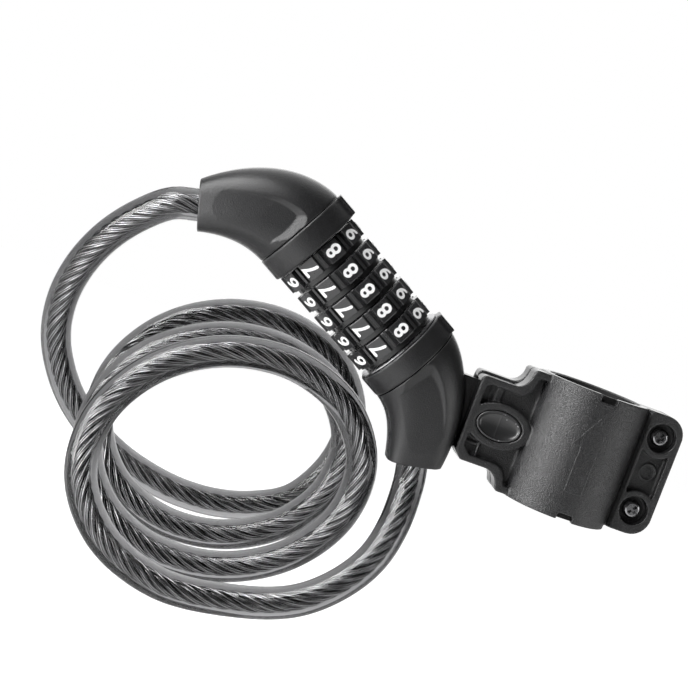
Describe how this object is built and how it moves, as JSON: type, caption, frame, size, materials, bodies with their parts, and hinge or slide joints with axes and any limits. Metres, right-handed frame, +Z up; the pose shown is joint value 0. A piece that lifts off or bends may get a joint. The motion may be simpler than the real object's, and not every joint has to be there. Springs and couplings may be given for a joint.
{
  "type": "cable lock",
  "caption": "Resettable combination cable lock with a self-coiling clear-sheathed steel cable, held in a two-shell tube clamp by a push-button latch.",
  "frame": {"origin": "centre of the clamp bore, on the tube axis, halfway up the clamp", "axes": "+Z up along the tube axis, +X from the bore towards the screw flange, -Y towards the numbered front of the lock"},
  "size_m": [0.2424, 0.0916, 0.1623],
  "materials": {
    "bracket_plastic": "black nylon with a coarse spark-eroded texture",
    "body_plastic": "black plastic with a fine satin texture",
    "button_plastic": "black satin plastic",
    "dial_plastic": "black semi-gloss plastic",
    "digit_ink": "white filled figures",
    "liner_rubber": "black soft rubber",
    "bright_steel": "bright plated steel",
    "dark_steel": "blackened screw steel",
    "rope_steel": "twisted steel wire",
    "clear_sheath": "smoke-clear glossy vinyl"
  },
  "bodies": {
    "bracket": {"front_shell": "bracket_plastic", "rear_shell": "bracket_plastic", "liner_front": "liner_rubber", "liner_rear": "liner_rubber", "clamp_screw_upper": "dark_steel", "clamp_screw_lower": "dark_steel", "clamp_nut_upper": "dark_steel", "clamp_nut_lower": "dark_steel", "latch_spring": "bright_steel"},
    "button": {"release_button": "button_plastic"},
    "lock": {"lower_elbow": "body_plastic", "lower_collar": "body_plastic", "lock_core": "bright_steel", "core_pin": "bright_steel", "core_clip": "bright_steel", "detent_spring": "bright_steel", "stack_washer": "bright_steel", "ferrule_lower": "bright_steel", "ferrule_pin_lower": "bright_steel", "cable_sheath": "clear_sheath", "wire_rope": "rope_steel"},
    "plug": {"upper_elbow": "body_plastic", "upper_collar": "body_plastic", "locking_bolt": "bright_steel", "bolt_pin": "bright_steel", "ferrule_upper": "bright_steel", "ferrule_pin_upper": "bright_steel"},
    "reset_sleeve": {"reset_sleeve": "bright_steel"},
    "dial_1": {"dial_1": "dial_plastic", "clutch_ring_1": "bright_steel"},
    "dial_2": {"dial_2": "dial_plastic", "clutch_ring_2": "bright_steel"},
    "dial_3": {"dial_3": "dial_plastic", "clutch_ring_3": "bright_steel"},
    "dial_4": {"dial_4": "dial_plastic", "clutch_ring_4": "bright_steel"},
    "dial_5": {"dial_5": "dial_plastic", "clutch_ring_5": "bright_steel"}
  },
  "joints": [
    {"name": "button_press", "type": "slide", "parent": "bracket", "child": "button", "axis": [0, 1, 0], "range_m": [0, 0.002], "stiffness_N_per_m": 400, "deforming": ["latch_spring"]},
    {"name": "bracket_release", "type": "slide", "parent": "bracket", "child": "lock", "axis": [-1, 0, 0], "range_m": [0, 0.03], "deforming": ["latch_spring"]},
    {"name": "plug_pull", "type": "slide", "parent": "lock", "child": "plug", "axis": [-0.8712, 0, 0.4909], "range_m": [0, 0.053], "deforming": ["cable_sheath", "wire_rope"]},
    {"name": "reset_turn", "type": "hinge", "parent": "lock", "child": "reset_sleeve", "pos_m": [-0.0968, 0, 0.0262], "axis": [0.8712, 0, -0.4909], "range_deg": [0, 90]},
    {"name": "dial_1_turn", "type": "hinge", "parent": "lock", "child": "dial_1", "pos_m": [-0.0968, 0, 0.0262], "axis": [0.8712, 0, -0.4909], "continuous": true},
    {"name": "dial_2_turn", "type": "hinge", "parent": "lock", "child": "dial_2", "pos_m": [-0.0968, 0, 0.0262], "axis": [0.8712, 0, -0.4909], "continuous": true},
    {"name": "dial_3_turn", "type": "hinge", "parent": "lock", "child": "dial_3", "pos_m": [-0.0968, 0, 0.0262], "axis": [0.8712, 0, -0.4909], "continuous": true},
    {"name": "dial_4_turn", "type": "hinge", "parent": "lock", "child": "dial_4", "pos_m": [-0.0968, 0, 0.0262], "axis": [0.8712, 0, -0.4909], "continuous": true},
    {"name": "dial_5_turn", "type": "hinge", "parent": "lock", "child": "dial_5", "pos_m": [-0.0968, 0, 0.0262], "axis": [0.8712, 0, -0.4909], "continuous": true}
  ]
}
